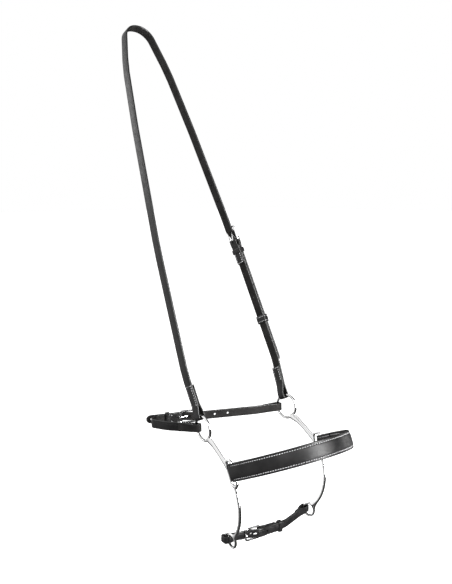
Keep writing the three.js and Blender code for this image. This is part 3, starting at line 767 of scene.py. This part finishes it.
def make_headstall():
    thick, width = HEADSTALL["thick"], HEADSTALL["width"]
    width_at = narrowing(HEADSTALL, 20, 36, lambda at: at[1])
    crown, shoulder = v2(21.5, CROWN_RISE), v2(41, 575)
    corners = [
        *ring_fold(-1)[::-1],
        corner((-CHEEK_LOW[0], CHEEK_LOW[1]), 160, thick),
        corner((-76.6, 270), 700, thick),
        corner((-TEMPLE[0], TEMPLE[1]), 600, thick),
        corner((-shoulder[0], shoulder[1]), 220, thick),
        corner((-crown[0], crown[1]), 26.5, thick),
        corner(crown, 26.5, thick),
        corner(shoulder, 220, thick),
        corner(TEMPLE, 600, thick),
        *cheek.billet(-202),
    ]
    route = ends_refined(Route(corners), 9, 0.8)
    piece = strap("crown_strap_leather", route, HEADSTALL_PLANE, width, "headstall", grain=1,
                  width_at=width_at, tip=8, skive=(0,))
    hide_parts("crown_strap")
    holes = []
    for height in (314, 343, 372):
        across = np.interp(height, (CHEEK_HEEL[1], TEMPLE[1]), (CHEEK_HEEL[0], TEMPLE[0]))
        holes.append((across, height))
    holes += [cheek.on(at, buckle_heights(HEADSTALL)[3]) for at in (-52, -81, -110)]
    punch(piece, holes, HEADSTALL_PLANE, CHEEK_UP, 3.2, 3.2)
    cut_for_tongue(piece, cheek, TONGUE_HOLE)
    stitching("crown_strap_stitching", "headstall",
              lambda bm: ring_fold_stitches(bm, route, -1, 1, width_at))

    corners = [
        *ring_fold(1)[::-1],
        corner(cheek.on(-198, buckle_heights(HEADSTALL)[1]), 120, thick),
        *cheek.chape(38),
    ]
    lower = Route(corners)
    piece = strap("near_cheek_leather", lower, HEADSTALL_PLANE, width, "headstall", grain=-1,
                  width_at=width_at, skive=(0, 1))
    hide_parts("near_cheek_strap")
    cut_for_tongue(piece, cheek, TONGUE_SLOT)

    def sew(bm):
        ring_fold_stitches(bm, lower, 1, -1, width_at)
        stitch_rows(bm, lower, HEADSTALL_PLANE, -1, HEADSTALL_ROWS, lower.length - 22, lower.length - 1.6)
        cross_stitches(bm, lower, HEADSTALL_PLANE, -1, 5.0, lower.length - 1.6)

    stitching("near_cheek_stitching", "headstall", sew)
    buckle_frame("cheek_buckle_frame", cheek, "headstall")
    buckle_tongue("cheek_buckle_tongue", cheek, "cheek_tongue")
    keeper("cheek_fixed_keeper", cheek, -17, 7, *keeper_span(HEADSTALL, True), "headstall")
    loop, loop_place = keeper("cheek_sliding_keeper", cheek, -133, 12, *keeper_span(HEADSTALL, False),
                              "sliding_keeper")
    stitching("sliding_keeper_stitching", "sliding_keeper",
              lambda bm: stitch_rows(bm, loop, loop_place, -1, (-3.6, 3.6), 0, loop.length))


# ---- shanks ----------------------------------------------------------------------------

LIMB_STEPS = 8


def shank_plane(side):
    """The middle plane of a shank: x forward and y up, from the centre of its upper ring."""
    forward, out = rise(SHANK_YAW)
    up, lean = rise(SHANK_LEAN)
    return plane((forward, side * out, 0), (0, side * lean, up), (0, side * RING_HALF_SPACING, 0))


def smooth_points(points):
    """A Catmull-Rom curve through points."""
    p = [2 * np.array(points[0]) - np.array(points[1]), *map(np.array, points),
         2 * np.array(points[-1]) - np.array(points[-2])]
    made = []
    for i in range(1, len(p) - 2):
        for k in range(LIMB_STEPS):
            t = k / LIMB_STEPS
            made.append(0.5 * (2 * p[i] + (p[i + 1] - p[i - 1]) * t
                               + (2 * p[i - 1] - 5 * p[i] + 4 * p[i + 1] - p[i + 2]) * t * t
                               + (3 * p[i] - p[i - 1] - 3 * p[i + 1] + p[i + 2]) * t ** 3))
    made.append(p[-2])
    return made


def limb(bm, left, right, place, closed=False):
    """A casting's limb between two edge lines, with an elliptical section."""
    rings = []
    for a, b in zip(left, right):
        centre, reach = (np.array(a) + b) / 2, (np.array(a) - b) / 2
        rings.append([place @ Vector((*(centre + reach * c), s * SHANK_THICK / 2)) * MM
                      for c, s in circle(20)])
    skin(bm, rings, closed)


def ring_limb(bm, centre, size, place, steps):
    outer, inner = [[v2(*spoke) * size[edge] + centre for spoke in circle(steps)]
                    for edge in ("outer", "inner")]
    limb(bm, outer, inner, place, closed=True)


def slot_limb(bm, place):
    """The four bars round the noseband slot, turned to the noseband's lean."""
    half = v2(SLOT_OPENING["width"] + SLOT_BAR, SLOT_OPENING["length"] + SLOT_BAR) / 2
    route = loop_route(-half[0], half[0], half[1], 5.6, SLOT_BAR, 8, 3.0)
    c, s = rise(NOSEBAND_LEAN)
    turned = [[v2(p[0] * c - p[1] * s, p[0] * s + p[1] * c) + SLOT_CENTRE
               for p in (route.at + route.normal * reach)] for reach in (SLOT_BAR / 2, -SLOT_BAR / 2)]
    limb(bm, *turned, place, closed=True)


def make_shank(name, side):
    """The casting's limbs, fused and smoothed so that they meet in fillets."""
    place = shank_plane(side)
    bm = bmesh.new()
    ring_limb(bm, (0, 0), UPPER_RING, place, 72)
    top = [(15.6, -5.2), (19.0, -9.6), (24.5, -12.8), (35, -19.9), (46, -27.4), (55, -32.2)]
    under = [(4.4, -16.2), (14, -19.2), (24.5, -23), (35.7, -30.1), (47.5, -39), (57.5, -48)]
    limb(bm, smooth_points(top), smooth_points(under), place)
    slot_limb(bm, place)
    middle = smooth_points(
        [(70.2, -60.5), (74.6, -76), (77.4, -94), (75.4, -112), (69.4, -127), (59.6, -140.7)])
    left, right = [], []
    for i, at in enumerate(middle):
        t = i / (len(middle) - 1)
        along = unit(middle[min(i + 1, len(middle) - 1)] - middle[max(i - 1, 0)])
        flare = 1 + 0.3 * max(0, 1 - t * 8) + 1.15 * max(0, (t - 0.86) / 0.14) ** 2
        left.append(at + left_of(along) * ROD_WIDTH / 2 * flare)
        right.append(at - left_of(along) * ROD_WIDTH / 2 * flare)
    limb(bm, left, right, place)
    ring_limb(bm, LOWER_RING_CENTRE, LOWER_RING, place, 48)
    piece = new_piece(name + "_casting", bm, [casting], name)
    fuse = piece.modifiers.new("fuse", "REMESH")
    fuse.mode, fuse.voxel_size = "VOXEL", 0.48 * MM
    soften = piece.modifiers.new("soften", "SMOOTH")
    soften.factor, soften.iterations = 0.5, 14
    thin = piece.modifiers.new("thin", "DECIMATE")
    thin.ratio = 0.35
    apply_modifiers(piece)
    piece.data.shade_smooth()
    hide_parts(name)


# ---- noseband --------------------------------------------------------------------------

def shank_point(side, x, y):
    return (shank_plane(side) @ Vector((x, y, 0))) - RING_LINE / MM


level, climb = rise(NOSEBAND_LEAN)
SLOT_REACH = (SLOT_OPENING["width"] + SLOT_BAR) / 2
FRONT_BAR = shank_point(1, SLOT_CENTRE[0] + SLOT_REACH * level, SLOT_CENTRE[1] + SLOT_REACH * climb)
NOSEBAND_PLANE = plane((level, 0, climb), (0, 1, 0), (
    FRONT_BAR.x - NOSEBAND_RAISE * climb, 0, FRONT_BAR.z + NOSEBAND_RAISE * level))
BAND_CLEAR_ACROSS = 3.2
BAND_CLEAR_ALONG = 3.5
FOLD_TAIL = 27.0
FACE_HALF_SPAN = FRONT_BAR.y + BAND_CLEAR_ACROSS + FACE_THICK / 2


def band_arc(inset, start, end, steps, thick):
    """Half an ellipse round the nose, inside the face's centre line by inset."""
    made = []
    for i in range(steps + 1):
        angle = start + (end - start) * i / steps
        outward = unit(v2(math.cos(angle) / NOSEBAND_DEPTH, math.sin(angle) / FACE_HALF_SPAN))
        at = v2(NOSEBAND_DEPTH * math.cos(angle), FACE_HALF_SPAN * math.sin(angle))
        made.append(corner(at - outward * inset, 0, thick))
    return made


def make_noseband():
    back = -(BAND_CLEAR_ALONG + FACE_THICK / 2)
    tail_inset = 2 * BAND_CLEAR_ACROSS + FACE_THICK
    quarter = math.pi / 2

    def end_fold(side):
        reach = math.acos(FOLD_TAIL / NOSEBAND_DEPTH)
        return [
            *band_arc(tail_inset, side * reach, side * quarter, 6, FACE_THICK),
            corner(v2(back, side * (FACE_HALF_SPAN - tail_inset)), 3.4, FACE_THICK),
            corner(v2(back, side * FACE_HALF_SPAN), 3.4, FACE_THICK),
        ]

    corners = [*end_fold(-1), *band_arc(0, -quarter, quarter, 90, FACE_THICK), *end_fold(1)[::-1]]
    route = Route(corners)
    face = strap("noseband_face_leather", route, NOSEBAND_PLANE, NOSEBAND_WIDTH, "noseband",
                 grain=-1, puff=0.9, crease=0.3, inset=3.2, skive=(0, 1))
    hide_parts("noseband_face")

    padding_inset = FACE_THICK / 2 + GAP + PADDING_THICK / 2
    lining_inset = padding_inset + PADDING_THICK / 2 + GAP + LINING_THICK / 2
    end = math.radians(85.2)
    layer = Route(band_arc(padding_inset, -end, end, 80, PADDING_THICK))
    padding = strap("noseband_padding_foam", layer, NOSEBAND_PLANE, NOSEBAND_WIDTH - 2.5, "noseband",
                    grain=-1, puff=0.1, crease=0.0, materials=[padding_foam] * 3)
    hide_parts("noseband_padding")
    inner = Route(band_arc(lining_inset, -end, end, 80, LINING_THICK))
    lining = strap("noseband_lining_leather", inner, NOSEBAND_PLANE, NOSEBAND_WIDTH, "noseband",
                   grain=1, puff=0.5, crease=0.2, inset=3.2,
                   materials=[lining_leather, flesh, edge_paint])
    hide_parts("noseband_lining")

    def sew(bm):
        rows, inner_rows = edge_rows(NOSEBAND_WIDTH, 3.2), edge_rows(NOSEBAND_WIDTH, 6.2)
        start = route.nearest((4, -FACE_HALF_SPAN))
        finish = route.nearest((4, FACE_HALF_SPAN))
        stitch_rows(bm, route, NOSEBAND_PLANE, -1, rows, start, finish)
        for s in (start - 0.5, finish + 0.5, route.nearest((22, -FACE_HALF_SPAN)),
                  route.nearest((22, FACE_HALF_SPAN))):
            cross_stitches(bm, route, NOSEBAND_PLANE, -1, NOSEBAND_WIDTH / 2 - 4.5, s)
        stitch_rows(bm, route, NOSEBAND_PLANE, -1, inner_rows, start + 1, start + 23)
        stitch_rows(bm, route, NOSEBAND_PLANE, -1, inner_rows, finish - 23, finish - 1)
        stitch_rows(bm, inner, NOSEBAND_PLANE, 1, rows, 3, inner.length - 3)
        for low, high in ((2, 24), (route.length - 24, route.length - 2)):
            stitch_rows(bm, route, NOSEBAND_PLANE, -1, rows, low, high)

    stitching("noseband_stitching", "noseband", sew)


# ---- curb and joining straps -----------------------------------------------------------

def wire_fold(wire, away, leather_size, slack, reach, tail_side):
    """A fold round a ring's rear wire, from the main strap to the end of the tail."""
    thick, fold = leather_size["thick"], leather_size["fold"]
    across = left_of(away) * tail_side
    near, far = slack["near"] + fold / 2, slack["far"] + fold / 2
    end = -(slack["behind"] + fold / 2)
    rounding = min(3.2, (near + far) / 2 - 0.05)
    meet = -thick / 2 + GAP / 2
    spots = [
        (reach["meet"], meet - GAP, 12, thick), (reach["open"], -far, 5, fold),
        (end, -far, rounding, fold), (end, near, rounding, fold),
        (reach["open"], near, 5, fold), (reach["meet"], fold / 2 + GAP, 8, fold),
        (reach["tail"], fold / 2 + GAP, 0, fold),
    ]
    return [corner(wire + away * s + across * h, r, t) for s, h, r, t in spots]


def make_curb():
    level, drop = rise(CURB_PITCH)
    surface = plane((level, 0, drop), (0, 1, 0), (0, 0, -CURB_DROP))
    width, thick = CURB["width"], CURB["thick"]
    rear = shank_point(1, -(UPPER_RING["outer"] + UPPER_RING["inner"]) / 2, 0)
    heel, to_toe = v2(-81.5, -60.5), unit(v2(27, 54))
    buckle = Buckle(surface, heel, to_toe, left_of(to_toe), CURB)
    rows = edge_rows(width, 2.0)

    wire = v2(rear.x, rear.y)
    width_at = narrowing(CURB, 3.5, 20, lambda at: np.linalg.norm(at - wire))
    fold = wire_fold(wire, unit(v2(-0.16, -1)), CURB, {"near": 3.3, "far": 5.5, "behind": 3.2},
                     {"open": 6, "meet": 18, "tail": 27}, -1)
    route = Route([*fold[::-1], corner((-25.5, 42), 100, thick), *buckle.billet(-50)])
    ends_refined(route, 9, 0.8)
    piece = strap("curb_billet_leather", route, surface, width, "curb", grain=-1,
                  width_at=width_at, tip=8, skive=(0,))
    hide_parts("curb_billet")
    holes = [(-45.8, 3.0), (-55.1, -14.8), buckle.on(-42, buckle_heights(CURB)[3])]
    punch(piece, holes, surface, to_toe, 3.4, 3.4)
    cut_for_tongue(piece, buckle, TONGUE_HOLE)

    off_wire = v2(rear.x, -rear.y)
    off_width = narrowing(CURB, 3.5, 20, lambda at: np.linalg.norm(at - off_wire))
    off_fold = wire_fold(off_wire, unit(v2(-0.85, -0.53)), CURB,
                         {"near": 3.7, "far": 3.5, "behind": 5.2},
                         {"open": 6, "meet": 18, "tail": 27}, 1)
    off_route = Route([
        *off_fold[::-1], corner((-50, -102.5), 60, thick), corner((-85, -110.5), 8.5, thick),
        corner(buckle.on(-36, buckle_heights(CURB)[1] - 1.0), 9, thick), *buckle.chape(22)])
    strap_piece = strap("curb_strap_leather", off_route, surface, width, "curb", grain=1,
                        width_at=off_width, skive=(0, 1))
    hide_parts("curb_strap")
    cut_for_tongue(strap_piece, buckle, TONGUE_SLOT)

    def sew(bm):
        for path, face, shape in ((route, -1, width_at), (off_route, 1, off_width)):
            stitch_rows(bm, path, surface, face, rows, 1.5, 11, shape)
            stitch_rows(bm, path, surface, face, rows, 54, 64, shape)
            cross_stitches(bm, path, surface, face, 4.0, 1.5, shape)
        stitch_rows(bm, off_route, surface, 1, rows, off_route.length - 9, off_route.length - 1.6)

    stitching("curb_stitching", "curb", sew)
    buckle_frame("curb_buckle_frame", buckle, "curb")
    buckle_tongue("curb_buckle_tongue", buckle, "curb_tongue")
    keeper("curb_keeper", buckle, -18.5, 6, *keeper_span(CURB, True), "curb")


def make_joining():
    ring = shank_point(1, *LOWER_RING_CENTRE)
    level, roll = rise(JOINING_ROLL)
    surface = plane((1, 0, 0), (0, level, -roll), (0, 0, ring.z - JOINING_DROP))
    width = JOINING["width"]
    rear = shank_point(1, LOWER_RING_CENTRE[0] - (LOWER_RING["outer"] + LOWER_RING["inner"]) / 2,
                       LOWER_RING_CENTRE[1])
    to_toe = unit(v2(-0.13, -1))
    buckle = Buckle(surface, v2(57.6, -29), to_toe, unit(v2(1, -0.13)), JOINING)
    rows = edge_rows(width, 2.0)

    wire = v2(rear.x, rear.y)
    width_at = narrowing(JOINING, 8, 20, lambda at: np.linalg.norm(at - wire))
    fold = wire_fold(wire, unit(v2(0.33, -1)), JOINING, {"near": 3.8, "far": 4.9, "behind": 3.8},
                     {"open": 7, "meet": 19, "tail": 30}, -1)
    route = Route([*fold[::-1], corner(buckle.on(-45, buckle_heights(JOINING)[1]), 30, JOINING["thick"]),
                   *buckle.chape(28)])
    piece = strap("joining_strap_leather", route, surface, width, "joining", grain=1,
                  width_at=width_at, skive=(0, 1))
    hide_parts("joining_strap")
    cut_for_tongue(piece, buckle, TONGUE_SLOT)

    off_wire = v2(rear.x, -rear.y)
    off_width = narrowing(JOINING, 8, 20, lambda at: np.linalg.norm(at - off_wire))
    off_fold = wire_fold(off_wire, unit(v2(0.2, 1)), JOINING, {"near": 5.6, "far": 4.7, "behind": 6.5},
                         {"open": 2, "meet": 13, "tail": 19}, 1)
    off_route = ends_refined(Route([*off_fold[::-1], *buckle.billet(-41, 5)]), 9, 0.8)
    billet = strap("joining_billet_leather", off_route, surface, width, "joining", grain=-1,
                   width_at=off_width, tip=8, skive=(0,))
    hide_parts("joining_billet")
    punch(billet, [buckle.on(-10, 4.4)], surface, to_toe, 3.4, 3.4)
    cut_for_tongue(billet, buckle, TONGUE_HOLE)

    def sew(bm):
        stitch_rows(bm, route, surface, 1, rows, 1.5, 13, width_at)
        start = route.nearest(wire + unit(v2(0.33, -1)) * 16)
        stitch_rows(bm, route, surface, 1, rows, start + 2, start + 18, width_at)
        stitch_rows(bm, route, surface, 1, rows, route.length - 14, route.length - 1.6)
        stitch_rows(bm, off_route, surface, -1, rows, 1.5, 6, off_width)

    stitching("joining_stitching", "joining", sew)
    buckle_frame("joining_buckle_frame", buckle, "joining")
    buckle_tongue("joining_buckle_tongue", buckle, "joining_tongue")
    keeper("joining_keeper", buckle, -34, 6, *keeper_span(JOINING, False), "joining")


make_headstall()
make_shank("near_shank", 1)
make_shank("off_shank", -1)
make_noseband()
make_curb()
make_joining()


# ---- camera, light and floor -----------------------------------------------------------

CAMERA_AZIMUTH = 47.0
CAMERA_ELEVATION = 17.1
CAMERA_DISTANCE = 1.1
CAMERA_HEADING = 48.66
CAMERA_DIP = 7.55
LENS = 45.62


def make_camera():
    """The camera stands in front of the off side, a little above the rings."""
    level, up = rise(CAMERA_ELEVATION)
    front, side = math.sin(math.radians(CAMERA_AZIMUTH)), math.cos(math.radians(CAMERA_AZIMUTH))
    data = bpy.data.cameras.new("camera")
    data.lens = LENS
    data.clip_start, data.clip_end = 0.05, 60
    camera = linked_object("camera", data)
    camera.location = RING_LINE + Vector((front * level, -side * level, up)) * CAMERA_DISTANCE
    camera.rotation_euler = (math.radians(90 - CAMERA_DIP), 0, math.radians(CAMERA_HEADING))
    bpy.context.scene.camera = camera


def softbox(name, at, size, power, target=(-0.1, 0, 0.25)):
    """A rectangular light; its place and what it faces are given from the rings."""
    data = bpy.data.lights.new(name, "AREA")
    data.shape, data.size, data.size_y, data.energy = "RECTANGLE", size[0], size[1], power
    lamp = linked_object(name, data)
    lamp.location = RING_LINE + Vector(at)
    lamp.rotation_euler = (RING_LINE + Vector(target) - lamp.location).to_track_quat("-Z", "Y").to_euler()


BRIGHT_SIDE = (-0.6, -0.55, 0.55)


def make_world():
    """White to the camera; for light and reflections, bright on one side and above."""
    world = bpy.data.worlds.new("studio")
    bpy.context.scene.world = world
    world.use_nodes = True
    nodes, links = world.node_tree.nodes, world.node_tree.links
    nodes.clear()
    where = nodes.new("ShaderNodeTexCoord")
    toward = nodes.new("ShaderNodeVectorMath")
    toward.operation = "DOT_PRODUCT"
    toward.inputs[1].default_value = Vector(BRIGHT_SIDE).normalized()
    links.new(where.outputs["Generated"], toward.inputs[0])
    walls = ramp(world.node_tree, toward.outputs["Value"], grey(0.05), grey(0.95), 0.24, 0.6)
    room = nodes.new("ShaderNodeBackground")
    links.new(walls, room.inputs["Color"])
    white = nodes.new("ShaderNodeBackground")
    white.inputs["Color"].default_value = (1, 1, 1, 1)
    path = nodes.new("ShaderNodeLightPath")
    mix = nodes.new("ShaderNodeMixShader")
    links.new(path.outputs["Is Camera Ray"], mix.inputs["Fac"])
    links.new(room.outputs["Background"], mix.inputs[1])
    links.new(white.outputs["Background"], mix.inputs[2])
    output = nodes.new("ShaderNodeOutputWorld")
    links.new(mix.outputs["Shader"], output.inputs["Surface"])


FLOOR_DROP = 0.22


def make_floor():
    bm = bmesh.new()
    bmesh.ops.create_grid(bm, x_segments=1, y_segments=1, size=25)
    mesh = bpy.data.meshes.new("floor")
    bm.to_mesh(mesh)
    bm.free()
    made, _, shader = material("pale_floor")
    shader.inputs["Base Color"].default_value = (0.85, 0.85, 0.85, 1)
    shader.inputs["Roughness"].default_value = 0.9
    shader.inputs["Emission Color"].default_value = (1, 1, 1, 1)
    shader.inputs["Emission Strength"].default_value = 0.85
    mesh.materials.append(made)
    floor = linked_object("floor", mesh)
    floor.location = (0, 0, CAD_BOX[0].z - FLOOR_DROP)
    floor.visible_glossy = False


make_camera()
make_world()
make_floor()
softbox("key", (1.3, -1.6, 1.5), (1.4, 1.4), 20)
softbox("front", (1.35, 0.15, 0.45), (0.4, 1.6), 75, (0.15, 0, -0.02))
softbox("side", (-1.15, -0.5, 0.66), (0.5, 0.45), 2.2, (-0.2, -0.05, 0.5))
softbox("rim", (0.3, 1.05, 0.0), (0.22, 0.7), 2.2, (0.15, 0, -0.02))
bpy.context.scene.view_settings.view_transform = "Standard"
